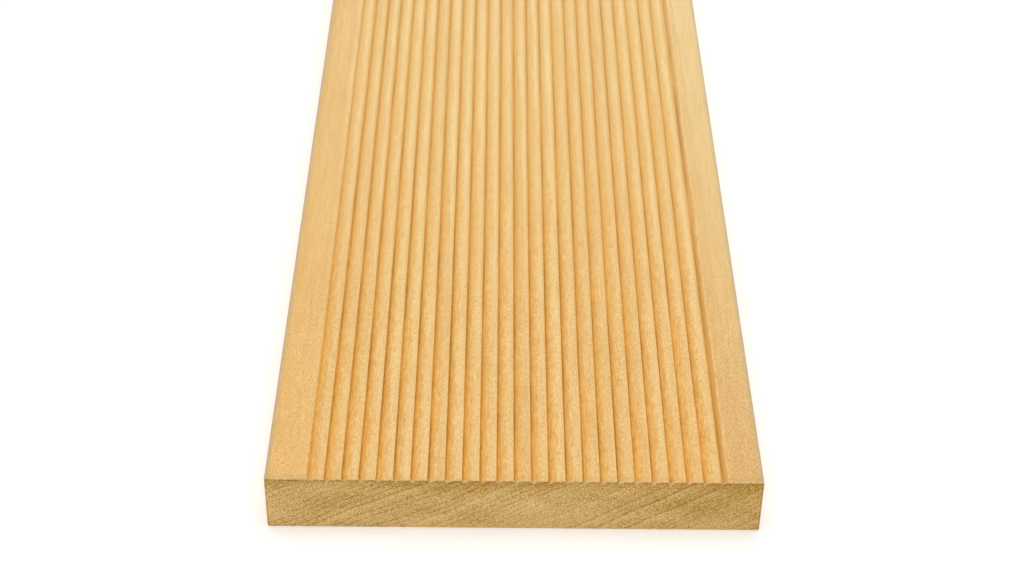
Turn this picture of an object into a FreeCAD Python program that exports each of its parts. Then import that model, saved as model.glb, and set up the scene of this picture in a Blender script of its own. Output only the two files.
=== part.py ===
import FreeCAD, Part
import os
import Sketcher

# Decking board: one length of hardwood, planed to section, with fine anti-slip grooves along its top.
# It lies flat, top up: X across the board, Y along it, Z up, origin under its middle.

NODE = "decking_board"

# Driving sizes in mm, with what each one is.
SIZES = (
    ("board_length", 1830, "sold length of the board"),
    ("board_width", 145, "planed width across the face"),
    ("board_thickness", 19, "planed thickness"),
    ("long_arris", 0.5, "radius that eases the four long edges"),
    ("end_arris", 0.4, "chamfer sanded round both cut ends"),
    ("edge_margin", 12, "least distance from a long edge to the root of the outer groove"),
    ("groove_pitch", 5, "from one groove's root to the next"),
    ("field_shift", 0.35, "how far the grooves sit right of the board's middle"),
    ("groove_depth", 1, "depth of a groove's root below the face"),
    ("outer_depth", 0.7, "depth of the two outer grooves, which the cutter head reaches less"),
    ("steep_wall", 0.6, "width of a groove's steep left wall, seen from above"),
    ("round_wall", 2.1, "width of a groove's rounded right wall, seen from above"),
    ("wall_radius", 3.6, "radius of a groove's rounded right wall"),
)

# As many steps of the pitch as fit between the margins, and the width that the grooves then take up.
STEPS = "floor((sizes.board_width - 2 * sizes.edge_margin) / sizes.groove_pitch)"
FIELD = f"{STEPS} * sizes.groove_pitch"

# A sketch's own origin, as a constraint names it.
ORIGIN = (-1, 1)


def make_sheet(doc):
    """Writes the driving sizes into a sheet, one named cell each."""
    sheet = doc.addObject("Spreadsheet::Sheet", "sizes")
    for row, (alias, value, meaning) in enumerate(SIZES, start=1):
        sheet.set(f"A{row}", alias)
        sheet.set(f"B{row}", str(value))
        sheet.set(f"C{row}", meaning)
        sheet.setAlias(f"B{row}", alias)
    doc.recompute()
    return sheet


def size(sheet, alias):
    """The present value of one size in the sheet."""
    return float(sheet.get(alias))


def datum(body, role):
    """One of the body's own origin planes or axes."""
    return next(item for item in body.Origin.OriginFeatures if item.Role == role)


def section_sketch(body, name):
    """An empty sketch on the board's cross-section, with X across and Z up."""
    sketch = body.newObject("Sketcher::SketchObject", name)
    sketch.AttachmentSupport = [(datum(body, "XZ_Plane"), "")]
    sketch.MapMode = "FlatFace"
    return sketch


def dimension(sketch, name, kind, *parts, formula):
    """Adds a named dimension and ties it to the sheet."""
    value = sketch.Document.getObject("sizes").evalExpression(formula)
    value = getattr(value, "Value", value)
    index = sketch.addConstraint(Sketcher.Constraint(kind, *parts, value))
    sketch.renameConstraint(index, name)
    sketch.setExpression(f"Constraints.{name}", formula)


def close_loop(sketch, edges):
    """Joins each edge's end to the next edge's start."""
    for edge, following in zip(edges, edges[1:] + edges[:1]):
        sketch.addConstraint(Sketcher.Constraint("Coincident", edge, 2, following, 1))


def add_blank(body, sheet):
    """The planed blank: a plain rectangle run the whole length, half each way."""
    half = size(sheet, "board_width") / 2
    top = size(sheet, "board_thickness")
    corners = ((-half, 0), (half, 0), (half, top), (-half, top))
    sketch = section_sketch(body, "blank_section")
    points = [FreeCAD.Vector(x, z, 0) for x, z in corners]
    edges = [
        sketch.addGeometry(Part.LineSegment(start, end))
        for start, end in zip(points, points[1:] + points[:1])
    ]
    close_loop(sketch, edges)
    under, right, face, left = edges
    for edge in (under, face):
        sketch.addConstraint(Sketcher.Constraint("Horizontal", edge))
    for edge in (right, left):
        sketch.addConstraint(Sketcher.Constraint("Vertical", edge))
    sketch.addConstraint(Sketcher.Constraint("Symmetric", under, 1, under, 2, *ORIGIN))
    dimension(sketch, "width", "DistanceX", under, 1, under, 2, formula="sizes.board_width")
    dimension(sketch, "thickness", "DistanceY", right, 1, right, 2, formula="sizes.board_thickness")
    blank = body.newObject("PartDesign::Pad", "blank")
    blank.Profile = sketch
    blank.SideType = "Symmetric"
    blank.setExpression("Length", "sizes.board_length")
    body.Document.recompute()
    return blank


def edge_names(feature, chosen):
    """Names of the feature's edges that the test picks."""
    return [f"Edge{i}" for i, edge in enumerate(feature.Shape.Edges, start=1) if chosen(edge)]


def runs_lengthwise(edge):
    """Whether an edge runs along the board."""
    return edge.BoundBox.YLength > edge.BoundBox.XLength + edge.BoundBox.ZLength


def ease_edges(body, blank):
    """Rounds the four long edges, then chamfers the outline of both cut ends."""
    rounded = body.newObject("PartDesign::Fillet", "long_edges")
    rounded.Base = (blank, edge_names(blank, runs_lengthwise))
    rounded.setExpression("Radius", "sizes.long_arris")
    body.Document.recompute()
    eased = body.newObject("PartDesign::Chamfer", "cut_ends")
    eased.Base = (rounded, edge_names(rounded, lambda edge: not runs_lengthwise(edge)))
    eased.setExpression("Size", "sizes.end_arris")
    body.Document.recompute()


def add_grooves(body, sheet, name, root, depth, copies, step):
    """A row of grooves: one cut right through from end to end, repeated across the face.

    root is the first root's distance left of the middle; it, depth, copies and step are formulas."""
    before = body.Shape.Volume
    top = size(sheet, "board_thickness")
    root_x = -sheet.evalExpression(root)
    root_z = top - sheet.evalExpression(depth)
    left_x = root_x - size(sheet, "steep_wall")
    right_x = root_x + size(sheet, "round_wall")
    above = top + sheet.evalExpression(depth)
    radius = size(sheet, "wall_radius")
    lip = FreeCAD.Vector(left_x, top, 0)
    bottom = FreeCAD.Vector(root_x, root_z, 0)
    shoulder = FreeCAD.Vector(right_x, top, 0)
    over_lip = FreeCAD.Vector(left_x, above, 0)
    over_shoulder = FreeCAD.Vector(right_x, above, 0)
    chord = shoulder - bottom
    away = FreeCAD.Vector(chord.y, -chord.x, 0).normalize()
    centre = (bottom + shoulder) / 2 + away * (radius**2 - (chord.Length / 2) ** 2) ** 0.5
    crown = centre - away * radius
    sketch = section_sketch(body, f"{name}_section")
    edges = [
        sketch.addGeometry(Part.LineSegment(bottom, lip)),
        sketch.addGeometry(Part.LineSegment(lip, over_lip)),
        sketch.addGeometry(Part.LineSegment(over_lip, over_shoulder)),
        sketch.addGeometry(Part.LineSegment(over_shoulder, shoulder)),
        sketch.addGeometry(Part.Arc(shoulder, crown, bottom)),
    ]
    close_loop(sketch, edges)
    steep, left, lid, right, rounded = edges
    sketch.addConstraint(Sketcher.Constraint("Horizontal", lid))
    for edge in (left, right):
        sketch.addConstraint(Sketcher.Constraint("Vertical", edge))
    dimension(sketch, "face_at_lip", "DistanceY", *ORIGIN, left, 1, formula="sizes.board_thickness")
    dimension(sketch, "face_at_shoulder", "DistanceY", *ORIGIN, right, 2, formula="sizes.board_thickness")
    dimension(sketch, "rise", "DistanceY", left, 1, left, 2, formula=depth)
    dimension(sketch, "root_place", "DistanceX", steep, 1, *ORIGIN, formula=root)
    dimension(sketch, "depth", "DistanceY", steep, 1, steep, 2, formula=depth)
    dimension(sketch, "steep", "DistanceX", steep, 2, steep, 1, formula="sizes.steep_wall")
    dimension(sketch, "round", "DistanceX", steep, 1, right, 2, formula="sizes.round_wall")
    dimension(sketch, "radius", "Radius", rounded, formula="sizes.wall_radius")
    groove = body.newObject("PartDesign::Pocket", name)
    groove.Profile = sketch
    groove.SideType = "Symmetric"
    groove.Type = "ThroughAll"
    body.Document.recompute()
    row = body.newObject("PartDesign::LinearPattern", f"{name}_row")
    row.Originals = [groove]
    row.Direction = (datum(body, "X_Axis"), [""])
    row.Mode = "Spacing"
    row.setExpression("Offset", step)
    row.setExpression("Occurrences", copies)
    body.Tip = row
    body.Document.recompute()
    if body.Shape.Volume >= before:
        raise RuntimeError(f"{name} cut nothing")


def check(doc, body):
    """Stops unless every object is sound and the board is one valid solid."""
    for item in doc.Objects:
        if {"Invalid", "Error"} & set(item.State):
            raise RuntimeError(f"{item.Name} failed: {item.State}")
    shape = body.Shape
    if shape.isNull() or not shape.isValid() or len(shape.Solids) != 1:
        raise RuntimeError("the board isn't one valid solid")


def main():
    doc = FreeCAD.newDocument("decking_board")
    sheet = make_sheet(doc)
    body = doc.addObject("PartDesign::Body", NODE)
    body.Label = NODE
    blank = add_blank(body, sheet)
    ease_edges(body, blank)
    first_root = f"{FIELD} / 2 - sizes.field_shift"
    add_grooves(
        body,
        sheet,
        "groove",
        root=f"{first_root} - sizes.groove_pitch",
        depth="sizes.groove_depth",
        copies=f"{STEPS} - 1",
        step="sizes.groove_pitch",
    )
    add_grooves(
        body,
        sheet,
        "outer_groove",
        root=first_root,
        depth="sizes.outer_depth",
        copies="2",
        step=FIELD,
    )
    check(doc, body)
    os.makedirs("parts", exist_ok=True)
    body.Shape.exportStep(f"parts/{body.Label}.step")
    box = body.Shape.BoundBox
    print(f"{body.Label}: {box.XLength:.2f} x {box.YLength:.2f} x {box.ZLength:.2f} mm,")
    print(f"volume {body.Shape.Volume:.1f} mm3, {len(body.Shape.Faces)} faces")


main()
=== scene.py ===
import math

import bmesh
import bpy
from mathutils import Color, Euler, Matrix, Vector


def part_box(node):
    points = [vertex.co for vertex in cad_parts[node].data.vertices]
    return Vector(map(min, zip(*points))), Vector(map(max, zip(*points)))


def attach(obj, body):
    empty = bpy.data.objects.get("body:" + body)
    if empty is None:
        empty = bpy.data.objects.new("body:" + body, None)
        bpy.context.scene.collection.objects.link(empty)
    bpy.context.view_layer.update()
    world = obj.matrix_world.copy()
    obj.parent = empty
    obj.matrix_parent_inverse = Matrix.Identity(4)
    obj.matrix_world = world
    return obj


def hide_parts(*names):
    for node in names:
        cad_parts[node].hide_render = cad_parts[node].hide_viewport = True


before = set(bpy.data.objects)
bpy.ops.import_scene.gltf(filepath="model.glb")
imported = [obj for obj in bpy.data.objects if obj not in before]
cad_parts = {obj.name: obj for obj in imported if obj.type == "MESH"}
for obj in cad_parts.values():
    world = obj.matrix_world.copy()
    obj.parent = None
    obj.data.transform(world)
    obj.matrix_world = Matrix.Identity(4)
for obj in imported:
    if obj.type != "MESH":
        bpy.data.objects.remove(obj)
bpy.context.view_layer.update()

bl_info = {
    "name": "Grooved decking board",
    "version": (1, 0, 0),
    "blender": (4, 5, 0),
    "location": "View3D > Sidebar > Decking",
    "description": "Models a grooved hardwood decking board and the stage it is shown on",
    "category": "Object",
}

NODE = "decking_board"
LOW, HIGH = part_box(NODE)
MM = 0.001

# How closely the mesh is cut: rows up to each distance from an end, rows along the middle,
# columns on each plain margin, and steps round an eased edge.
ROW_ZONES = ((6 * MM, 8), (40 * MM, 12), (300 * MM, 44))
MIDDLE_ROWS = 30
MARGIN_COLUMNS = 14
ARRIS_STEPS = 3

# Columns of a groove's steep wall, of its rounded wall and of the flat rib, as shares of their widths.
STEEP_COLUMNS = (-0.5, 0.0)
ROUND_COLUMNS = (0.07, 0.17, 0.29, 0.43, 0.59, 0.78, 1.0)
FLAT_COLUMNS = (0.18, 0.36, 0.54, 0.72, 0.9)

# Points closer than this lie at the same place, and edges flatter than this are shaded smooth.
SAME_PLACE = 0.01 * MM
SMOOTH_ANGLE = math.radians(35)

# Grain of each unevenness, as a length for each axis.
WANDER_GRAIN = (4 * MM, 28 * MM, 20 * MM)
ROOT_GRAIN = (3 * MM, 18 * MM, 20 * MM)
WEAR_GRAIN = (0.7 * MM, 5 * MM, 20 * MM)


def length_prop(name, description, millimetres):
    """A length that a user may change, given in millimetres and kept in metres."""
    return bpy.props.FloatProperty(
        name=name, description=description, default=millimetres * MM, unit="LENGTH", precision=5
    )


def angle_prop(name, description, degrees):
    """An angle that a user may change, given in degrees and kept in radians."""
    return bpy.props.FloatProperty(
        name=name, description=description, default=math.radians(degrees), subtype="ANGLE"
    )


def colour_prop(name, description, colour):
    """A colour that a user may change."""
    return bpy.props.FloatVectorProperty(
        name=name, description=description, default=colour, subtype="COLOR", min=0.0, max=1.0
    )


class BoardSizes(bpy.types.PropertyGroup):
    """Sizes of the board that its box doesn't give."""

    groove_pitch: length_prop("Groove pitch", "From one groove's root to the next", 5.0)
    edge_margin: length_prop("Edge margin", "Least distance from a long edge to the outer root", 12.0)
    field_shift: length_prop("Field shift", "How far the grooves sit right of the middle", 0.35)
    groove_depth: length_prop("Groove depth", "Depth of a root below the face", 1.0)
    outer_depth: length_prop("Outer depth", "Depth of the two outer grooves", 0.7)
    steep_wall: length_prop("Steep wall", "Width of a groove's steep left wall", 0.6)
    round_wall: length_prop("Round wall", "Width of a groove's rounded right wall", 2.1)
    wall_radius: length_prop("Wall radius", "Radius of a groove's rounded right wall", 3.6)
    long_arris: length_prop("Long arris", "Radius that eases the long edges", 0.5)
    end_arris: length_prop("End arris", "How far the cut ends are eased", 0.4)
    wander: length_prop("Wander", "How far a groove strays, from one side to the other", 0.3)
    root_unevenness: length_prop("Root unevenness", "How far a groove's depth varies", 0.2)
    end_wear: length_prop("End wear", "How far fibres have broken away along the cut ends", 0.3)


class WoodLooks(bpy.types.PropertyGroup):
    """Colours and scales of the bare wood, with the grooves' painted shade."""

    face_dark: colour_prop("Dark face", "Darkest streaks of the planed face", (0.74, 0.405, 0.112))
    face_pale: colour_prop("Pale face", "Palest streaks of the planed face", (0.98, 0.72, 0.315))
    # The groove colours are partly the walls' own wood and partly painted shade in the grooves.
    groove_dark: colour_prop("Dark groove", "Darkest wood of the groove walls", (0.70, 0.325, 0.042))
    groove_pale: colour_prop("Pale groove", "Palest wood of the groove walls", (0.98, 0.57, 0.14))
    groove_mellow: colour_prop("Mellow groove", "Groove walls away from the ends", (0.80, 0.51, 0.135))
    # Painted shade: the dark line that the groove's shade leaves on each steep wall.
    steep_wall: colour_prop("Steep wall", "Dark wood of the grooves' steep walls", (0.38, 0.19, 0.008))
    pore: colour_prop("Pore", "Dark lines of cut pores along the face", (0.42, 0.20, 0.03))
    edge_grey: colour_prop("Grey edge", "Wood greyed along the long edges", (0.42, 0.39, 0.27))
    # A darker colour for the faces beside the cut ends.
    end_darkening: colour_prop("Soiled end", "Soil on the faces beside the cut ends", (0.43, 0.28, 0.10))
    fringe: colour_prop("Fringe", "Frayed fibres along the cut ends", (0.78, 0.53, 0.235))
    end_pale: colour_prop("Pale end grain", "Palest wood of the cut end", (0.86, 0.595, 0.25))
    end_dark: colour_prop("Dark end grain", "Darkest wood of the cut end", (0.41, 0.205, 0.01))
    end_pore: colour_prop("End pore", "Open pores of the cut end", (0.17, 0.085, 0.02))
    ring_spacing: length_prop("Ring spacing", "From one growth ring to the next", 1.8)


class StageSettings(bpy.types.PropertyGroup):
    """Camera and floor."""

    camera_side: length_prop("Camera side", "Camera's place across the board", -6.1)
    camera_back: length_prop("Camera back", "Camera's distance in front of the near end", 422.6)
    camera_height: length_prop("Camera height", "Camera's height above the floor", 410.2)
    camera_pitch: angle_prop("Pitch", "How far the camera looks down", 37.23)
    camera_yaw: angle_prop("Yaw", "How far the camera turns right", 0.61)
    camera_roll: angle_prop("Roll", "How far the camera leans", 0.92)
    focal_pixels: bpy.props.FloatProperty(
        name="Focal length", description="Focal length in pixels of a picture 1024 wide", default=1982.0
    )
    floor_colour: colour_prop("Floor", "Pale studio floor", (0.95, 0.95, 0.95))


# Selecting and shaping in edit mode


def near(a, b):
    """Whether two places are the same."""
    return abs(a - b) < SAME_PLACE


def start_selecting(kind):
    """In edit mode, clears the selection and gives the mesh to choose from."""
    bpy.ops.mesh.select_mode(type=kind)
    bpy.ops.mesh.select_all(action="DESELECT")
    return bmesh.from_edit_mesh(bpy.context.edit_object.data)


def finish_selecting(shape):
    """Adds what lies between the chosen points or edges, and shows the choice in edit mode."""
    shape.select_flush_mode()
    bmesh.update_edit_mesh(bpy.context.edit_object.data)


def select_points(test):
    """In edit mode, selects the points that pass the test, and the edges and faces between them."""
    shape = start_selecting("VERT")
    for point in shape.verts:
        point.select = test(point.co)
    finish_selecting(shape)


def select_edges(test):
    """In edit mode, selects the edges whose two ends pass the test together."""
    shape = start_selecting("EDGE")
    for edge in shape.edges:
        edge.select = test(edge.verts[0].co, edge.verts[1].co)
    finish_selecting(shape)


def slice_at(place, across):
    """Cuts the whole mesh in edit mode by a plane."""
    bpy.ops.mesh.select_all(action="SELECT")
    bpy.ops.mesh.bisect(plane_co=place, plane_no=across)


def extrude_selected(x=0.0, y=0.0, z=0.0):
    """Draws the selection out by a move."""
    bpy.ops.mesh.extrude_region_move(TRANSFORM_OT_translate={"value": (x, y, z)})


# The board's shape


class Grooves:
    """Where the grooves lie and how deep they are, worked out from the sizes."""

    def __init__(self, sizes):
        self.sizes = sizes
        width = HIGH.x - LOW.x
        steps = math.floor((width - 2 * sizes.edge_margin) / sizes.groove_pitch)
        self.count = steps + 1
        self.first_root = (LOW.x + HIGH.x) / 2 + sizes.field_shift - steps * sizes.groove_pitch / 2
        self.last_root = self.first_root + steps * sizes.groove_pitch
        self.first_lip = self.first_root - sizes.steep_wall

    def columns(self):
        """Places across one rib where the mesh is cut, as distances right of the root."""
        sizes = self.sizes
        flat_width = sizes.groove_pitch - sizes.steep_wall - sizes.round_wall
        steep = [sizes.steep_wall * share for share in STEEP_COLUMNS]
        rounded = [sizes.round_wall * share for share in ROUND_COLUMNS]
        flat = [sizes.round_wall + flat_width * share for share in FLAT_COLUMNS]
        return steep + rounded + flat

    def drop(self, u):
        """Depth below the face at a place u right of a root."""
        sizes = self.sizes
        if u <= -sizes.steep_wall or u >= sizes.round_wall:
            return 0.0
        if u <= 0:
            return sizes.groove_depth * (1 + u / sizes.steep_wall)
        chord = Vector((sizes.round_wall, sizes.groove_depth))
        middle = Vector((sizes.round_wall / 2, -sizes.groove_depth / 2))
        inward = Vector((sizes.groove_depth, -sizes.round_wall)).normalized()
        centre = middle + inward * math.sqrt(sizes.wall_radius**2 - chord.length_squared / 4)
        return -(centre.y + math.sqrt(sizes.wall_radius**2 - (u - centre.x) ** 2))


def add_rib_strip(grooves):
    """One groove and rib, as long as the board less its eased ends, lip at the left."""
    sizes = grooves.sizes
    length = HIGH.y - LOW.y - 2 * sizes.end_arris
    middle = (grooves.first_lip + sizes.groove_pitch / 2, (LOW.y + HIGH.y) / 2, HIGH.z)
    bpy.ops.object.select_all(action="DESELECT")
    bpy.ops.mesh.primitive_plane_add(size=1.0, location=middle)
    board = bpy.context.object
    board.name = "board"
    bpy.ops.transform.resize(value=(sizes.groove_pitch, length, 1.0))
    bpy.ops.object.transform_apply(location=True, rotation=True, scale=True)
    bpy.ops.object.mode_set(mode="EDIT")
    for u in grooves.columns():
        slice_at((grooves.first_root + u, 0.0, 0.0), (1.0, 0.0, 0.0))
    for u in grooves.columns():
        fall = grooves.drop(u)
        if fall > 0:
            select_points(lambda co: near(co.x, grooves.first_root + u))
            bpy.ops.transform.translate(value=(0.0, 0.0, -fall))
    bpy.ops.object.mode_set(mode="OBJECT")
    return board


def repeat_ribs(board, grooves):
    """Copies the rib strip across the face and lifts the roots of the two outer grooves."""
    sizes = grooves.sizes
    row = board.modifiers.new("ribs", "ARRAY")
    row.count = grooves.count
    row.use_relative_offset = False
    row.use_constant_offset = True
    row.constant_offset_displace = (sizes.groove_pitch, 0.0, 0.0)
    row.use_merge_vertices = True
    row.merge_threshold = SAME_PLACE
    bpy.ops.object.modifier_apply(modifier=row.name)
    shallower = sizes.outer_depth / sizes.groove_depth
    bpy.ops.object.mode_set(mode="EDIT")
    for root in (grooves.first_root, grooves.last_root):
        select_points(lambda co: root - sizes.steep_wall < co.x < root + sizes.round_wall)
        bpy.ops.transform.resize(value=(1.0, 1.0, shallower), center_override=(root, 0.0, HIGH.z))
    bpy.ops.object.mode_set(mode="OBJECT")


def add_margins_and_sides(grooves):
    """Runs the face out to both long edges, down the sides and across the underside."""
    sizes = grooves.sizes
    last_rib_end = grooves.first_lip + grooves.count * sizes.groove_pitch
    margins = ((grooves.first_lip, LOW.x), (last_rib_end, HIGH.x))
    bpy.ops.object.mode_set(mode="EDIT")
    for border, edge in margins:
        select_edges(lambda a, b: near(a.x, border) and near(b.x, border))
        extrude_selected(x=edge - border)
        extrude_selected(z=LOW.z - HIGH.z)
    select_edges(lambda a, b: near(a.z, LOW.z) and near(b.z, LOW.z) and near(a.x, b.x))
    bpy.ops.mesh.bridge_edge_loops()
    for border, edge in margins:
        for step in range(1, MARGIN_COLUMNS):
            slice_at((border + (edge - border) * step / MARGIN_COLUMNS, 0.0, 0.0), (1.0, 0.0, 0.0))
    select_edges(
        lambda a, b: near(a.x, b.x)
        and near(a.z, b.z)
        and (near(a.x, LOW.x) or near(a.x, HIGH.x))
        and (near(a.z, LOW.z) or near(a.z, HIGH.z))
    )
    bpy.ops.mesh.bevel(offset=sizes.long_arris, segments=ARRIS_STEPS, affect="EDGES")
    bpy.ops.object.mode_set(mode="OBJECT")


def close_ends(sizes):
    """Fills both ends and eases their outline in a quarter round."""
    width = HIGH.x - LOW.x
    thickness = HIGH.z - LOW.z
    middle = (LOW + HIGH) / 2
    bpy.ops.object.mode_set(mode="EDIT")
    for end, outward in ((LOW.y + sizes.end_arris, -1.0), (HIGH.y - sizes.end_arris, 1.0)):
        select_points(lambda co: near(co.y, end))
        bpy.ops.mesh.edge_face_add()
        reached = 0.0
        taken = 0.0
        for step in range(1, ARRIS_STEPS + 1):
            turn = math.pi / 2 * step / ARRIS_STEPS
            forward = sizes.end_arris * math.sin(turn)
            inset = sizes.end_arris * (1 - math.cos(turn))
            narrower = (width - 2 * inset) / (width - 2 * taken)
            thinner = (thickness - 2 * inset) / (thickness - 2 * taken)
            extrude_selected(y=outward * (forward - reached))
            bpy.ops.transform.resize(
                value=(narrower, 1.0, thinner), center_override=(middle.x, end, middle.z)
            )
            reached = forward
            taken = inset
    bpy.ops.object.mode_set(mode="OBJECT")


def cut_rows(sizes):
    """Cuts the board across, closely near its ends and further apart along its middle."""
    bpy.ops.object.mode_set(mode="EDIT")
    stations = [sizes.end_arris] + [far for far, _ in ROW_ZONES]
    for far, _ in ROW_ZONES:
        for place in (LOW.y + far, HIGH.y - far):
            slice_at((0.0, place, 0.0), (0.0, 1.0, 0.0))
    spans = []
    for close, (far, cuts) in zip(stations, ROW_ZONES):
        spans.append((LOW.y + close, LOW.y + far, cuts))
        spans.append((HIGH.y - far, HIGH.y - close, cuts))
    spans.append((LOW.y + stations[-1], HIGH.y - stations[-1], MIDDLE_ROWS))
    for low, high, cuts in spans:
        select_edges(lambda a, b: near(min(a.y, b.y), low) and near(max(a.y, b.y), high))
        bpy.ops.mesh.subdivide(number_cuts=cuts)
    bpy.ops.object.mode_set(mode="OBJECT")


def weigh_points(board, name, weight):
    """A vertex group whose weights come from each point's place."""
    group = board.vertex_groups.new(name=name)
    for point in board.data.vertices:
        share = weight(point.co)
        if share > 0:
            group.add([point.index], min(share, 1.0), "REPLACE")
    return group.name


def roughen(board, name, group, direction, reach, grain, middle):
    """Moves the group's points one way by a clouded pattern whose grain is a length for each axis."""
    bpy.ops.object.select_all(action="DESELECT")
    bpy.ops.object.empty_add(location=(0.0, 0.0, 0.0))
    ruler = bpy.context.object
    ruler.scale = grain
    bpy.context.view_layer.update()
    pattern = bpy.data.textures.new(name, "CLOUDS")
    pattern.noise_scale = 1.0
    pattern.noise_depth = 1
    bpy.context.view_layer.objects.active = board
    board.select_set(True)
    shift = board.modifiers.new(name, "DISPLACE")
    shift.texture = pattern
    shift.texture_coords = "OBJECT"
    shift.texture_coords_object = ruler
    shift.vertex_group = group
    shift.direction = direction
    shift.strength = reach
    shift.mid_level = middle
    bpy.ops.object.modifier_apply(modifier=shift.name)
    bpy.data.objects.remove(ruler)


def add_unevenness(board, grooves):
    """Grooves that stray a little, roots of uneven depth, and fibres broken away along the ends."""
    sizes = grooves.sizes
    skin = 1.5 * sizes.groove_depth
    field_start = grooves.first_lip - 1 * MM
    field_end = grooves.last_root + 3 * MM
    both_ways = 0.5
    down_only = 1.0

    def on_field(co):
        return 1.0 if co.z > HIGH.z - skin and field_start < co.x < field_end else 0.0

    def at_root(co):
        return on_field(co) * (HIGH.z - co.z) / sizes.groove_depth

    def at_top_end(co):
        beyond = abs(co.y) - (HIGH.y - sizes.end_arris)
        return beyond / sizes.end_arris if co.z > HIGH.z - 2 * skin else 0.0

    field = weigh_points(board, "grooved face", on_field)
    roots = weigh_points(board, "roots", at_root)
    ends = weigh_points(board, "top of the ends", at_top_end)
    roughen(board, "wander", field, "X", sizes.wander, WANDER_GRAIN, both_ways)
    roughen(board, "root depth", roots, "Z", sizes.root_unevenness, ROOT_GRAIN, both_ways)
    roughen(board, "end wear", ends, "Z", sizes.end_wear, WEAR_GRAIN, down_only)
    board.vertex_groups.clear()


def make_board_mesh(sizes):
    """The whole board as one closed mesh."""
    grooves = Grooves(sizes)
    board = add_rib_strip(grooves)
    repeat_ribs(board, grooves)
    add_margins_and_sides(grooves)
    close_ends(sizes)
    cut_rows(sizes)
    add_unevenness(board, grooves)
    bpy.ops.object.mode_set(mode="EDIT")
    bpy.ops.mesh.select_all(action="SELECT")
    bpy.ops.mesh.normals_make_consistent(inside=False)
    bpy.ops.object.mode_set(mode="OBJECT")
    bpy.ops.object.shade_smooth_by_angle(angle=SMOOTH_ANGLE)
    return board


# Building node trees

# A mix node's sockets for colours.
MIX_SHARE, MIX_FIRST, MIX_SECOND, MIX_RESULT = 0, 6, 7, 2


class Tree:
    """Short ways to add and wire shader nodes."""

    def __init__(self, tree):
        self.tree = tree

    def add(self, kind, *values, **settings):
        """A node with its settings, and its first inputs wired or set in order."""
        item = self.tree.nodes.new(kind)
        for name, value in settings.items():
            setattr(item, name, value)
        for socket, value in zip(item.inputs, values):
            self.put(socket, value)
        return item

    def put(self, socket, value):
        """Wires an output into a socket, or sets a plain value or colour on it."""
        if isinstance(value, bpy.types.NodeSocket):
            self.tree.links.new(value, socket)
        elif isinstance(value, Color):
            socket.default_value = (*value, 1.0)
        else:
            socket.default_value = value

    def math(self, operation, *values):
        """One step of arithmetic."""
        return self.add("ShaderNodeMath", *values, operation=operation).outputs[0]

    def plus(self, base, value, weight):
        """A base plus a value times its weight."""
        return self.math("MULTIPLY_ADD", value, weight, base)

    def times(self, first, *others):
        """The product of two or more values."""
        for other in others:
            first = self.math("MULTIPLY", first, other)
        return first

    def highest(self, first, second):
        """The larger of two values."""
        return self.math("MAXIMUM", first, second)

    def inverse(self, share):
        """What is left of one."""
        return self.math("SUBTRACT", 1.0, share)

    def centred(self, value):
        """A value that lies about a half, moved to lie about nought."""
        return self.math("SUBTRACT", value, 0.5)

    def damped(self, value, share):
        """A value that lies about a half, with its swing cut down or raised to a share."""
        return self.plus(0.5, self.centred(value), share)

    def contrast(self, value, strength, middle=0.5):
        """Spreads a value that lies about a middle into a share from 0 to 1."""
        spread = self.plus(0.5, self.math("SUBTRACT", value, middle), strength)
        return self.add("ShaderNodeClamp", spread).outputs[0]

    def ease(self, value, low, high, to_low=0.0, to_high=1.0):
        """A smooth step of a value from one range to another."""
        item = self.add(
            "ShaderNodeMapRange", value, low, high, to_low, to_high, interpolation_type="SMOOTHSTEP"
        )
        return item.outputs[0]

    def span(self, value, start, rise, fall, end):
        """A mask that rises from start to rise, and falls from fall to end."""
        return self.times(self.ease(value, start, rise), self.ease(value, fall, end, 1.0, 0.0))

    def weigh(self, values, weights, base=0.0):
        """A base plus every value times the weight of the same name."""
        for name, weight in weights.items():
            base = self.plus(base, values[name], weight)
        return base

    def parts(self, place):
        """A place's three measures, as X, Y and Z."""
        return self.add("ShaderNodeSeparateXYZ", place).outputs

    def join(self, *parts):
        """A place or size made of its measures."""
        return self.add("ShaderNodeCombineXYZ", *parts).outputs[0]

    def vector(self, operation, *values):
        """One step of arithmetic on places."""
        return self.add("ShaderNodeVectorMath", *values, operation=operation).outputs["Vector"]

    def noise(self, place, detail=2.0, roughness=0.5):
        """Soft clouds, one to each unit of the place."""
        item = self.add("ShaderNodeTexNoise")
        self.put(item.inputs["Vector"], place)
        self.put(item.inputs["Scale"], 1.0)
        self.put(item.inputs["Detail"], detail)
        self.put(item.inputs["Roughness"], roughness)
        return item.outputs[0]

    def mix(self, share, first, second):
        """A share of the way from one colour to another, each wired or plain."""
        item = self.add("ShaderNodeMix", data_type="RGBA")
        self.put(item.inputs[MIX_SHARE], share)
        self.put(item.inputs[MIX_FIRST], first)
        self.put(item.inputs[MIX_SECOND], second)
        return item.outputs[MIX_RESULT]


def new_group(name, inputs, outputs):
    """A shader node group with a place, numbers with their usual values, and its outputs;
    gives the group, its wiring, and both ends."""
    group = bpy.data.node_groups.new(name, "ShaderNodeTree")
    group.interface.new_socket("Place", in_out="INPUT", socket_type="NodeSocketVector")
    for socket, usual in inputs.items():
        made = group.interface.new_socket(socket, in_out="INPUT", socket_type="NodeSocketFloat")
        made.default_value = usual
    for socket in outputs:
        group.interface.new_socket(socket, in_out="OUTPUT", socket_type="NodeSocketFloat")
    tree = Tree(group)
    start = tree.add("NodeGroupInput")
    end = tree.add("NodeGroupOutput")
    return group, tree, start.outputs, end.inputs


def use(tree, group, place, **values):
    """Puts a node group at a place and sets its numbers by name, with spaces written as underscores."""
    item = tree.add("ShaderNodeGroup", node_tree=group)
    tree.put(item.inputs["Place"], place)
    for name, value in values.items():
        tree.put(item.inputs[name.replace("_", " ")], value)
    return item.outputs


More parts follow.
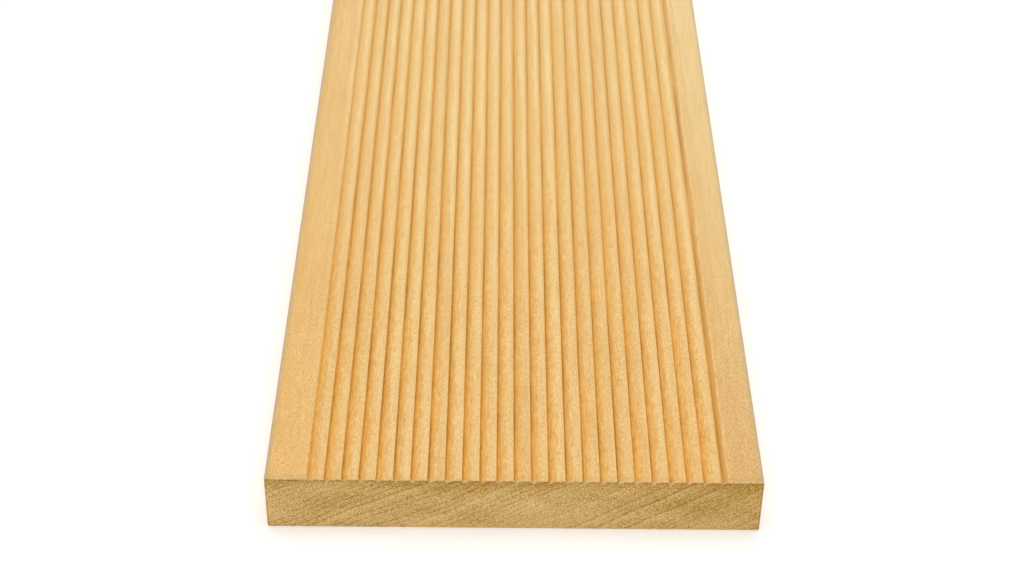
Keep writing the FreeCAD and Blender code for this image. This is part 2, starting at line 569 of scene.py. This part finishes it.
def new_material(name):
    """A material with a Principled shader; gives the material, its wiring, and the shader's inputs."""
    material = bpy.data.materials.new(name)
    material.use_nodes = True
    tree = Tree(material.node_tree)
    shader = next(item for item in material.node_tree.nodes if item.type == "BSDF_PRINCIPLED")
    return material, tree, shader.inputs


def add_bump(tree, shader, height, strength, distance):
    """Raises the surface by a pattern of heights."""
    bump = tree.add("ShaderNodeBump")
    tree.put(bump.inputs["Strength"], strength)
    tree.put(bump.inputs["Distance"], distance)
    tree.put(bump.inputs["Height"], height)
    tree.put(shader["Normal"], bump.outputs[0])


# Patterns that the wood is made of


def growth_rings():
    """Growth rings as sheets through the whole board: a late-wood line and a tone for each ring."""
    group, tree, given, result = new_group("growth rings", {"Spacing": 1.8 * MM}, ("Line", "Tone"))
    place = given["Place"]
    pith = (-0.5, 0.0, 0.9)
    rise_along_board = 0.006
    bends_per_metre = (30.0, 2.0, 30.0)
    bend_reach = 5 * MM
    frays_per_metre = (900.0, 40.0, 900.0)
    fray_reach = 0.3 * MM
    change_of_spacing = 0.45
    line_rise = (0.68, 0.82)
    line_fall = (0.93, 1.0)
    bend = tree.noise(tree.vector("MULTIPLY", place, bends_per_metre))
    fray = tree.noise(tree.vector("MULTIPLY", place, frays_per_metre), detail=3.0, roughness=0.6)
    flat = tree.vector("MULTIPLY", place, (1.0, 0.0, 1.0))
    from_pith = tree.vector("SUBTRACT", flat, pith)
    out = tree.add("ShaderNodeVectorMath", from_pith, operation="LENGTH").outputs["Value"]
    out = tree.plus(out, tree.parts(place)["Y"], rise_along_board)
    out = tree.plus(out, bend, bend_reach)
    out = tree.plus(out, fray, fray_reach)
    even = tree.math("DIVIDE", out, given["Spacing"])
    uneven = tree.add("ShaderNodeTexNoise", noise_dimensions="1D")
    tree.put(uneven.inputs["W"], tree.times(even, change_of_spacing))
    tree.put(uneven.inputs["Scale"], 1.0)
    ring = tree.math("ADD", even, uneven.outputs[0])
    within = tree.math("FRACT", ring)
    tone = tree.add("ShaderNodeTexWhiteNoise", noise_dimensions="1D")
    tree.put(tone.inputs["W"], tree.math("FLOOR", ring))
    tree.put(result["Line"], tree.span(within, *line_rise, *line_fall))
    tree.put(result["Tone"], tone.outputs["Value"])
    return group


def pores():
    """Open pores: long thin tubes that show as dashes along the board and as dots on its ends."""
    usual = {"Cell": 0.6 * MM, "Stretch": 20.0, "Radius": 0.3}
    group, tree, given, result = new_group("pores", usual, ("Mask",))
    width = given["Cell"]
    length = tree.times(width, given["Stretch"])
    cell = tree.add("ShaderNodeTexVoronoi", feature="F1")
    size = tree.join(width, length, width)
    tree.put(cell.inputs["Vector"], tree.vector("DIVIDE", given["Place"], size))
    tree.put(cell.inputs["Scale"], 1.0)
    core = tree.times(given["Radius"], 0.5)
    tree.put(result["Mask"], tree.ease(cell.outputs["Distance"], core, given["Radius"], 1.0, 0.0))
    return group


def streaks():
    """Streaks of light and dark along the grain, about a half on average."""
    usual = {"Width": 0.3 * MM, "Length": 12 * MM}
    group, tree, given, result = new_group("streaks", usual, ("Streak",))
    size = tree.join(given["Width"], given["Length"], given["Width"])
    streak = tree.noise(tree.vector("DIVIDE", given["Place"], size), detail=3.0, roughness=0.6)
    tree.put(result["Streak"], streak)
    return group


def rib_phase():
    """Where a place lies across its rib: its distance right of the groove's root, the groove's number,
    and whether it is on the grooved face at all."""
    usual = {
        "First lip": -60 * MM,
        "Pitch": 5 * MM,
        "Steep wall": 0.6 * MM,
        "Count": 25.0,
        "Lowest": 17 * MM,
    }
    group, tree, given, result = new_group("rib phase", usual, ("Across", "Number", "Inside"))
    parts = tree.parts(given["Place"])
    phase = tree.math("DIVIDE", tree.math("SUBTRACT", parts["X"], given["First lip"]), given["Pitch"])
    across = tree.times(tree.math("FRACT", phase), given["Pitch"])
    right_of_first = tree.math("GREATER_THAN", phase, 0.0)
    left_of_last = tree.math("LESS_THAN", phase, given["Count"])
    on_face = tree.math("GREATER_THAN", parts["Z"], given["Lowest"])
    tree.put(result["Across"], tree.math("SUBTRACT", across, given["Steep wall"]))
    tree.put(result["Number"], tree.math("FLOOR", phase))
    tree.put(result["Inside"], tree.times(right_of_first, left_of_last, on_face))
    return group


# The wood of the long faces

# Widths and lengths of the streaks, and the clouds of each groove by its number and along it.
FINE_STREAKS = (0.2 * MM, 1.3 * MM)
HAIR_STREAKS = (0.26 * MM, 9 * MM)
BROAD_STREAKS = (1.1 * MM, 18 * MM)
CLOUD_STREAKS = (9 * MM, 50 * MM)
BLOTCH_STREAKS = (0.9 * MM, 4 * MM)
GROOVE_CLOUDS = (3.7, 24.0, 1.0)
FACE_PORES = {"Cell": 0.42 * MM, "Stretch": 4.0, "Radius": 0.36}

# How far the fine streaks swing by the ends, and what each zone adds to a streak's swing.
TONE_SWING = 1.35
TONE_SWINGS = {"calm": -0.95, "speckled": 0.35}
HAIR_SWINGS = {"calm": -0.4}
BLOTCH_SWINGS = {"inward": -0.6}

# Distances from a cut end between which the wood changes.
# Paler past these distances: partly the wood's own colour, partly a painted haze of stray light.
PALER_AWAY_FROM_ENDS = (0.0, 330 * MM)
CALMER_STREAKS = (40 * MM, 160 * MM)
FADING_LINES = (10 * MM, 220 * MM)
SPECKLED_MARGIN = (10 * MM, 80 * MM)
DARKENED_END = (0.8 * MM, 3.0 * MM)
FRAYED_FRINGE = (0.2 * MM, 0.7 * MM)

# Frayed fibres per metre along each axis, and how far their fringe strays.
FRAYED_FIBRES = (1500.0, 500.0, 900.0)
RAGGEDNESS = 3.0 * MM

# Borders across the face: right of the last root, left of the first lip, and right of the left edge.
RIGHT_MARGIN = (1.15 * MM, 5.15 * MM)
# A painted highlight along a strip left of the first lip.
LIP_HIGHLIGHT = (2.2 * MM, 1.4 * MM, 0.7 * MM, 0.2 * MM)
RIBS_START = 3 * MM
LEFT_EDGE = (1 * MM, 4 * MM)

# Where the last groove's steep wall gives way to its root, right of the root.
LAST_ROOT = (-0.3 * MM, 0.2 * MM)

# What each streak and mask adds to the planed wood, from dark to pale.
PLANED_WEIGHTS = {
    "tone": 0.52,
    "hair": 0.27,
    "broad": 0.16,
    "cloud": 0.12,
    "ring_tone": 0.05,
    "ring_line": -0.015,
    "plain": -0.04,
    # painted highlight left of the first lip
    "lip_highlight": 0.035,
    "left_edge": -0.045,
    # paler away from the ends: partly the wood's own colour, partly a painted haze of stray light
    "inward": 0.015,
    "inward_ribs": 0.035,
    "right_margin": 0.05,
    "speckled": -0.055,
}
PLANED_CONTRAST = 4.6
PLANED_MIDDLE = 0.54

# What each adds to the groove walls, from dark to pale.
WALL_WEIGHTS = {
    "tone": 0.35,
    "hair": 0.3,
    "blotch": 0.35,
    "first": -0.02,
    "last": 0.22,
    "last_root": -0.33,
    "last_by_end": -0.08,
}
WALL_CONTRAST = 4.4


class LongFaces:
    """Streaks and masks that the paints of the long faces share."""

    def __init__(self, tree, sizes, looks, groups):
        self.tree = tree
        self.place = tree.add("ShaderNodeTexCoord").outputs["Object"]
        self.parts = tree.parts(self.place)
        self.from_middle = tree.math("ABSOLUTE", self.parts["Y"])
        grooves = Grooves(sizes)
        self.find_ribs(grooves, groups["phase"])
        self.find_zones(grooves)
        self.find_streaks(looks, groups)
        self.find_fringe()

    def weigh(self, weights, base=0.0):
        """A base plus each named streak or mask times its weight."""
        return self.tree.weigh(vars(self), weights, base)

    def by_ends(self, distances, along):
        """1 closer to a cut end than the first distance, and 0 past the second."""
        close, far = distances
        return self.tree.ease(along, HIGH.y - far, HIGH.y - close)

    def away(self, distances):
        """0 closer to a cut end than the first distance, and 1 past the second."""
        return self.tree.inverse(self.by_ends(distances, self.from_middle))

    def find_ribs(self, grooves, phase):
        """Where a place lies across its rib, and whether its groove is the first or the last."""
        tree = self.tree
        sizes = grooves.sizes
        groove_share = (sizes.steep_wall + sizes.round_wall) / sizes.groove_pitch
        last_number = grooves.count - 1
        rib = use(
            tree,
            phase,
            self.place,
            First_lip=grooves.first_lip,
            Pitch=sizes.groove_pitch,
            Steep_wall=sizes.steep_wall,
            Count=last_number + groove_share,
            Lowest=HIGH.z - 2 * sizes.groove_depth,
        )
        self.across = rib["Across"]
        self.number = rib["Number"]
        self.inside = rib["Inside"]
        self.plain = tree.inverse(self.inside)
        self.first = tree.times(tree.ease(self.number, 0.0, 1.0, 1.0, 0.0), self.inside)
        self.past_last = tree.ease(self.number, last_number - 1, last_number)
        self.last = tree.times(self.past_last, self.inside)
        self.last_root = tree.times(self.last, tree.ease(self.across, *LAST_ROOT))

    def find_zones(self, grooves):
        """Parts of the face that are paler, calmer or darker, as masks from 0 to 1."""
        tree = self.tree
        x = self.parts["X"]
        lip = grooves.first_lip
        self.inward = self.away(PALER_AWAY_FROM_ENDS)
        self.calm = self.away(CALMER_STREAKS)
        self.faded = self.away(FADING_LINES)
        self.inward_ribs = tree.times(self.inward, tree.ease(x, lip - RIBS_START, lip))
        # Painted highlight along the strip left of the first lip.
        self.lip_highlight = tree.span(x, *(lip - distance for distance in LIP_HIGHLIGHT))
        self.left_edge = tree.ease(x, *(LOW.x + distance for distance in LEFT_EDGE), 1.0, 0.0)
        self.right_margin = tree.ease(x, *(grooves.last_root + distance for distance in RIGHT_MARGIN))
        self.speckled = tree.times(self.right_margin, self.by_ends(SPECKLED_MARGIN, self.from_middle))
        self.last_by_end = tree.times(self.past_last, tree.inverse(self.calm))

    def find_streaks(self, looks, groups):
        """Growth rings, pores, and streaks of each size."""
        tree = self.tree

        def streak(size):
            width, length = size
            return use(tree, groups["streaks"], self.place, Width=width, Length=length)["Streak"]

        rings = use(tree, groups["rings"], self.place, Spacing=looks.ring_spacing)
        self.ring_line = rings["Line"]
        self.ring_tone = tree.centred(rings["Tone"])
        self.pore = use(tree, groups["pores"], self.place, **FACE_PORES)["Mask"]
        self.fine = streak(FINE_STREAKS)
        self.tone = tree.damped(self.fine, self.weigh(TONE_SWINGS, TONE_SWING))
        self.hair = tree.damped(streak(HAIR_STREAKS), self.weigh(HAIR_SWINGS, 1.0))
        self.blotch = tree.damped(streak(BLOTCH_STREAKS), self.weigh(BLOTCH_SWINGS, 1.0))
        self.broad = streak(BROAD_STREAKS)
        self.cloud = streak(CLOUD_STREAKS)
        own = tree.join(self.number, self.parts["Y"])
        self.slow = tree.noise(tree.vector("MULTIPLY", own, GROOVE_CLOUDS))

    def find_fringe(self):
        """Fibres torn along the cut ends, and the ragged fringe that they cover."""
        tree = self.tree
        self.frayed = tree.noise(tree.vector("MULTIPLY", self.place, FRAYED_FIBRES), detail=3.0)
        ragged = tree.plus(self.from_middle, tree.centred(self.frayed), RAGGEDNESS)
        self.fringe = self.by_ends(FRAYED_FRINGE, ragged)


def planed_wood(face, looks):
    """Fine streaks over broad ones, a tone for each growth ring, and a shade for each zone."""
    share = face.tree.contrast(face.weigh(PLANED_WEIGHTS), PLANED_CONTRAST, PLANED_MIDDLE)
    return face.tree.mix(share, looks.face_dark, looks.face_pale)


def wall_tint(face, mellow):
    """How far the groove walls' orange covers the planed wood, in places right of the root; the orange
    is partly the walls' own wood and partly painted shade in the groove.
    """
    tree = face.tree
    blotch_reach = 5.2 * MM
    slow_reach = 3.0 * MM
    last_end = 1.35 * MM
    last_haste = 2.0
    fade = (1.0 * MM, 3.2 * MM)
    mellow_waning = -0.4
    least_off_ribs = 0.44
    least_weights = {"inside": -0.22, "inward": -0.3}
    last_wall_foot = (-0.35 * MM, 0.15 * MM)
    last_wall_waning = -0.7
    lip_start = tree.plus(3.6 * MM, face.inward, -0.8 * MM)
    lip_end = 4.4 * MM
    lip_tint = tree.plus(0.4, face.inward, 0.6)

    # Up the rounded wall, as far as the streaks carry it, and less far in the last groove.
    reach = tree.plus(face.across, tree.centred(face.blotch), blotch_reach)
    reach = tree.plus(reach, tree.centred(face.slow), slow_reach)
    past_end = tree.math("SUBTRACT", face.across, last_end)
    reach = tree.plus(reach, tree.times(face.last, past_end), last_haste)
    tint = tree.times(tree.ease(reach, *fade, 1.0, 0.0), face.inside)
    tint = tree.times(tint, tree.plus(1.0, mellow, mellow_waning))
    tint = tree.highest(tint, face.weigh(least_weights, least_off_ribs))

    # Off the last groove's steep wall away from the ends, and on to the lip before the next groove.
    on_steep_wall = tree.ease(face.across, *last_wall_foot, 1.0, 0.0)
    bare = tree.times(face.last, face.inward, on_steep_wall)
    tint = tree.times(tint, tree.plus(1.0, bare, last_wall_waning))
    lip = tree.ease(face.across, lip_start, lip_end, 0.0, lip_tint)
    return tree.highest(tint, tree.times(lip, face.inside))


def groove_walls_and_shade(face, looks, colour):
    """Orange walls, partly their own wood and partly painted shade in the groove, that fade on to the
    ribs, mellower away from the ends, but less so the last one.
    """
    tree = face.tree
    last_mellowing = -0.5
    mellow_share = 0.75
    mellow = tree.times(face.inward, tree.plus(1.0, face.last, last_mellowing))
    share = tree.contrast(face.weigh(WALL_WEIGHTS), WALL_CONTRAST)
    wall = tree.mix(share, looks.groove_dark, looks.groove_pale)
    wall = tree.mix(tree.times(mellow, mellow_share), wall, looks.groove_mellow)
    return tree.mix(wall_tint(face, mellow), colour, wall)


def steep_wall_shade(face, looks, colour):
    """Painted shade: dark lines down the steep walls, where the groove's shade falls, broken by the
    streaks, fainter and wider away from the ends.
    """
    tree = face.tree
    line_rise = (-0.62 * MM, -0.44 * MM)
    lip = (3.6 * MM, 4.4 * MM)
    last_shift = -0.4 * MM
    fading = tree.plus(-0.28 * MM, face.inward, 0.2 * MM)
    gone = face.weigh({"inward": 0.4 * MM, "last": 0.6 * MM}, 0.1 * MM)
    groove_strength = face.weigh({"first": -0.78, "last": -0.32}, 1.0)
    streak_strength = tree.plus(1.7, face.tone, -1.4)
    slow_strength = tree.contrast(face.slow, 2.4, 0.45)
    fade = face.weigh({"first": 0.6, "last": 0.6}, -0.65)
    left_by_fading = tree.plus(1.0, face.faded, fade)

    shaded = tree.plus(face.across, face.last, last_shift)
    line = tree.span(shaded, *line_rise, fading, gone)
    over_lip = tree.times(tree.ease(face.across, *lip), face.inward)
    line = tree.times(tree.highest(line, over_lip), face.inside)
    line = tree.times(line, groove_strength, streak_strength, slow_strength, left_by_fading)
    return tree.mix(line, colour, looks.steep_wall)


def cut_pores(face, looks, colour):
    """Dark dashes of cut pores, strongest on the speckled margin."""
    strength = face.weigh({"calm": -0.1, "speckled": 0.45}, 0.2)
    return face.tree.mix(face.tree.times(face.pore, strength), colour, looks.pore)


def greyed_edges(face, looks, colour):
    """Long edges greyed, and the right margin a little too."""
    tree = face.tree
    edge_width = 2.0 * MM
    edge_share = 0.6
    margin_share = 0.09
    off_sides = tree.ease(face.parts["Z"], HIGH.z - 0.9 * MM, HIGH.z - 0.4 * MM)
    out = tree.math("ABSOLUTE", face.parts["X"])
    edge = tree.ease(out, HIGH.x - edge_width, HIGH.x, 0.0, edge_share)
    grey = tree.highest(tree.times(edge, off_sides), tree.times(face.right_margin, margin_share))
    return tree.mix(grey, colour, looks.edge_grey)


def darkened_ends(face, looks, colour):
    """Darker beside the cut ends, less so on the grooved face."""
    share = face.weigh({"inside": -0.14}, 0.26)
    soil = face.tree.times(face.by_ends(DARKENED_END, face.from_middle), share)
    return face.tree.mix(soil, colour, looks.end_darkening)


def frayed_fibres(face, looks, colour):
    """Frayed fibres where the saw came out."""
    tree = face.tree
    dark_to_pale = (0.4, 0.56)
    share = 0.75
    torn = tree.mix(tree.ease(face.frayed, *dark_to_pale), looks.end_dark, looks.fringe)
    return tree.mix(tree.times(face.fringe, share), colour, torn)


def long_grain(sizes, looks, groups):
    """Planed and grooved faces, with the grain running along the board."""
    material, tree, shader = new_material("long grain")
    face = LongFaces(tree, sizes, looks, groups)
    colour = planed_wood(face, looks)
    for paint in (groove_walls_and_shade, steep_wall_shade, cut_pores, greyed_edges, darkened_ends, frayed_fibres):
        colour = paint(face, looks, colour)
    smoothest = 0.34
    tree.put(shader["Base Color"], colour)
    tree.put(shader["Roughness"], face.weigh({"fine": 0.2, "fringe": 0.4}, smoothest))
    tree.put(shader["Specular IOR Level"], 0.65)
    add_bump(tree, shader, face.weigh({"tone": 1.0, "pore": -0.6}), strength=0.4, distance=0.08 * MM)
    return material


# The wood of the cut ends

# Patterns in clouds or dots per metre along each axis, and the pores.
END_CLOUDS = (45.0, 20.0, 110.0)
END_SPECKS = (3600.0, 50.0, 3600.0)
END_DOTS = (1500.0, 30.0, 1500.0)
END_PORES = {"Cell": 0.6 * MM, "Stretch": 20.0, "Radius": 0.46}

# What each pattern and mask adds to the cut end, from pale to dark.
END_WEIGHTS = {
    "speck": 0.8,
    "cloud": 0.2,
    "height": 2.0,
    "near_top": 0.055,
    "to_right": 0.035,
    "line": 0.03,
    "ring_tone": 0.05,
}
END_CONTRAST = 4.8
END_MIDDLE = 0.53


def dark_rim_dots(tree, parts, dots):
    """Dark dots just under the face and down both edges of a cut end."""
    under_face = tree.ease(parts["Z"], HIGH.z - 1.1 * MM, HIGH.z - 0.6 * MM)
    out = tree.math("ABSOLUTE", parts["X"])
    at_edges = tree.ease(out, HIGH.x - 0.8 * MM, HIGH.x - 0.4 * MM)
    dot_range = (0.3, 0.6)
    thinnest, thickest = 0.1, 0.45
    thickness = tree.ease(dots, *dot_range, thinnest, thickest)
    return tree.times(tree.highest(under_face, at_edges), thickness)


def end_grain(looks, groups):
    """Sawn ends: slanting growth rings and open pores."""
    material, tree, shader = new_material("end grain")
    place = tree.add("ShaderNodeTexCoord").outputs["Object"]
    parts = tree.parts(place)
    rings = use(tree, groups["rings"], place, Spacing=looks.ring_spacing)
    pore = use(tree, groups["pores"], place, **END_PORES)["Mask"]
    cloud = tree.noise(tree.vector("MULTIPLY", place, END_CLOUDS), detail=3.0)
    speck = tree.noise(tree.vector("MULTIPLY", place, END_SPECKS), detail=1.0)
    dots = tree.noise(tree.vector("MULTIPLY", place, END_DOTS), detail=1.0)
    faintest_line = 0.25
    line = tree.times(rings["Line"], tree.plus(faintest_line, rings["Tone"], 1.0 - faintest_line))
    values = {
        "speck": speck,
        "cloud": cloud,
        "height": tree.math("SUBTRACT", parts["Z"], (LOW.z + HIGH.z) / 2),
        "near_top": tree.ease(parts["Z"], HIGH.z - 5 * MM, HIGH.z - 1 * MM),
        "to_right": tree.ease(parts["X"], 10 * MM, HIGH.x),
        "line": line,
        "ring_tone": tree.centred(rings["Tone"]),
    }
    dark = tree.contrast(tree.weigh(values, END_WEIGHTS), END_CONTRAST, END_MIDDLE)
    colour = tree.mix(dark, looks.end_pale, looks.end_dark)

    # Pores all over, and rows of larger ones along the rings.
    pore_share = 0.16
    row_share = 0.52
    row_dots = (0.38, 0.58)
    row = tree.times(line, tree.ease(dots, *row_dots))
    open_pores = tree.highest(tree.times(pore, pore_share), tree.times(row, row_share))
    colour = tree.mix(open_pores, colour, looks.end_pore)
    colour = tree.mix(dark_rim_dots(tree, parts, dots), colour, looks.end_pore)
    tree.put(shader["Base Color"], colour)
    tree.put(shader["Roughness"], 0.7)
    tree.put(shader["Specular IOR Level"], 0.25)
    add_bump(tree, shader, tree.math("SUBTRACT", speck, pore), strength=0.2, distance=0.1 * MM)
    return material


def paint_board(board, sizes, looks):
    """Gives the long faces and the cut ends their own wood."""
    end_facing = 0.9
    groups = {"rings": growth_rings(), "pores": pores(), "streaks": streaks(), "phase": rib_phase()}
    board.data.materials.clear()
    board.data.materials.append(long_grain(sizes, looks, groups))
    board.data.materials.append(end_grain(looks, groups))
    for face in board.data.polygons:
        face.material_index = 1 if abs(face.normal.y) > end_facing else 0


class DECKING_OT_board(bpy.types.Operator):
    """Models the grooved board and gives it its wood"""

    bl_idname = "decking.board"
    bl_label = "Board"

    def execute(self, context):
        board = make_board_mesh(context.scene.decking_sizes)
        paint_board(board, context.scene.decking_sizes, context.scene.decking_looks)
        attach(board, "root")
        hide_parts(NODE)
        return {"FINISHED"}


# The stage

# Each lamp's lean from straight overhead to the front and its width, in degrees, and its strength.
LAMPS = {"top_light": (-8.0, 48.0, 1.1), "front_light": (51.0, 40.0, 0.63)}
LAMP_HEIGHT = 2.0

# The room's light on the board, and how bright the room looks.
ROOM_LIGHT = 0.5
ROOM_LOOK = 1.0

# The floor's side, and the glow that makes it come out white where it is seen.
FLOOR_SIDE = 40.0
FLOOR_GLOW = 0.18

# Width in pixels of the picture that the focal length is given for.
PICTURE_WIDTH = 1024

WHITE = Color((1.0, 1.0, 1.0))


def seen(tree):
    """1 for rays that show the stage itself, also mirrored or through glass, and 0 for its light."""
    rays = tree.add("ShaderNodeLightPath").outputs
    shown = tree.highest(rays["Is Camera Ray"], rays["Is Glossy Ray"])
    return tree.highest(shown, rays["Is Transmission Ray"])


def add_floor(colour):
    """A pale floor that the camera sees a little brighter, so that it comes out white."""
    bpy.ops.object.select_all(action="DESELECT")
    bpy.ops.mesh.primitive_plane_add(size=FLOOR_SIDE, location=(0.0, 0.0, LOW.z))
    floor = bpy.context.object
    floor.name = "floor"
    material, tree, shader = new_material("studio floor")
    tree.put(shader["Base Color"], colour)
    tree.put(shader["Roughness"], 0.9)
    tree.put(shader["Specular IOR Level"], 0.0)
    tree.put(shader["Emission Color"], WHITE)
    tree.put(shader["Emission Strength"], tree.times(seen(tree), FLOOR_GLOW))
    floor.data.materials.append(material)


def add_lamps():
    """Broad lights that fall evenly on the whole stage, one from above and one from the front."""
    for name, (lean, softness, strength) in LAMPS.items():
        turn = (math.radians(lean), 0.0, 0.0)
        bpy.ops.object.light_add(type="SUN", location=(0.0, 0.0, LAMP_HEIGHT), rotation=turn)
        lamp = bpy.context.object
        lamp.name = name
        lamp.data.angle = math.radians(softness)
        lamp.data.energy = strength


def light_room():
    """An even white room that looks brighter than the light it gives."""
    world = bpy.context.scene.world or bpy.data.worlds.new("studio")
    bpy.context.scene.world = world
    world.use_nodes = True
    background = next(item for item in world.node_tree.nodes if item.type == "BACKGROUND")
    tree = Tree(world.node_tree)
    tree.put(background.inputs["Color"], WHITE)
    tree.put(background.inputs["Strength"], tree.ease(seen(tree), 0.0, 1.0, ROOM_LIGHT, ROOM_LOOK))


def add_camera(stage):
    """The camera in front of the near end, turned and leaning as the settings say."""
    turn = Euler((math.pi / 2 - stage.camera_pitch, 0.0, -stage.camera_yaw)).to_matrix()
    turn = turn @ Matrix.Rotation(stage.camera_roll, 3, "Z")
    place = Vector((stage.camera_side, LOW.y - stage.camera_back, LOW.z + stage.camera_height))
    bpy.ops.object.camera_add(location=place, rotation=turn.to_euler())
    camera = bpy.context.object
    camera.data.lens = stage.focal_pixels / PICTURE_WIDTH * camera.data.sensor_width
    bpy.context.scene.camera = camera


class DECKING_OT_stage(bpy.types.Operator):
    """Sets up the floor, the light and the camera"""

    bl_idname = "decking.stage"
    bl_label = "Stage"

    def execute(self, context):
        stage = context.scene.decking_stage
        add_floor(stage.floor_colour)
        add_lamps()
        light_room()
        add_camera(stage)
        context.scene.view_settings.view_transform = "Standard"
        return {"FINISHED"}


class DECKING_PT_panel(bpy.types.Panel):
    """Lists the steps that build the decking board"""

    bl_label = "Decking board"
    bl_idname = "DECKING_PT_panel"
    bl_space_type = "VIEW_3D"
    bl_region_type = "UI"
    bl_category = "Decking"

    def draw(self, context):
        for group in ("decking_sizes", "decking_looks", "decking_stage"):
            settings = getattr(context.scene, group)
            for name in settings.__annotations__:
                self.layout.prop(settings, name)
        for operator in (DECKING_OT_board, DECKING_OT_stage):
            self.layout.operator(operator.bl_idname)


CLASSES = (BoardSizes, WoodLooks, StageSettings, DECKING_OT_board, DECKING_OT_stage, DECKING_PT_panel)


def register():
    for item in CLASSES:
        bpy.utils.register_class(item)
    bpy.types.Scene.decking_sizes = bpy.props.PointerProperty(type=BoardSizes)
    bpy.types.Scene.decking_looks = bpy.props.PointerProperty(type=WoodLooks)
    bpy.types.Scene.decking_stage = bpy.props.PointerProperty(type=StageSettings)


def unregister():
    del bpy.types.Scene.decking_stage
    del bpy.types.Scene.decking_looks
    del bpy.types.Scene.decking_sizes
    for item in reversed(CLASSES):
        bpy.utils.unregister_class(item)


def main():
    register()
    bpy.ops.decking.board()
    bpy.ops.decking.stage()


if __name__ == "__main__":
    main()
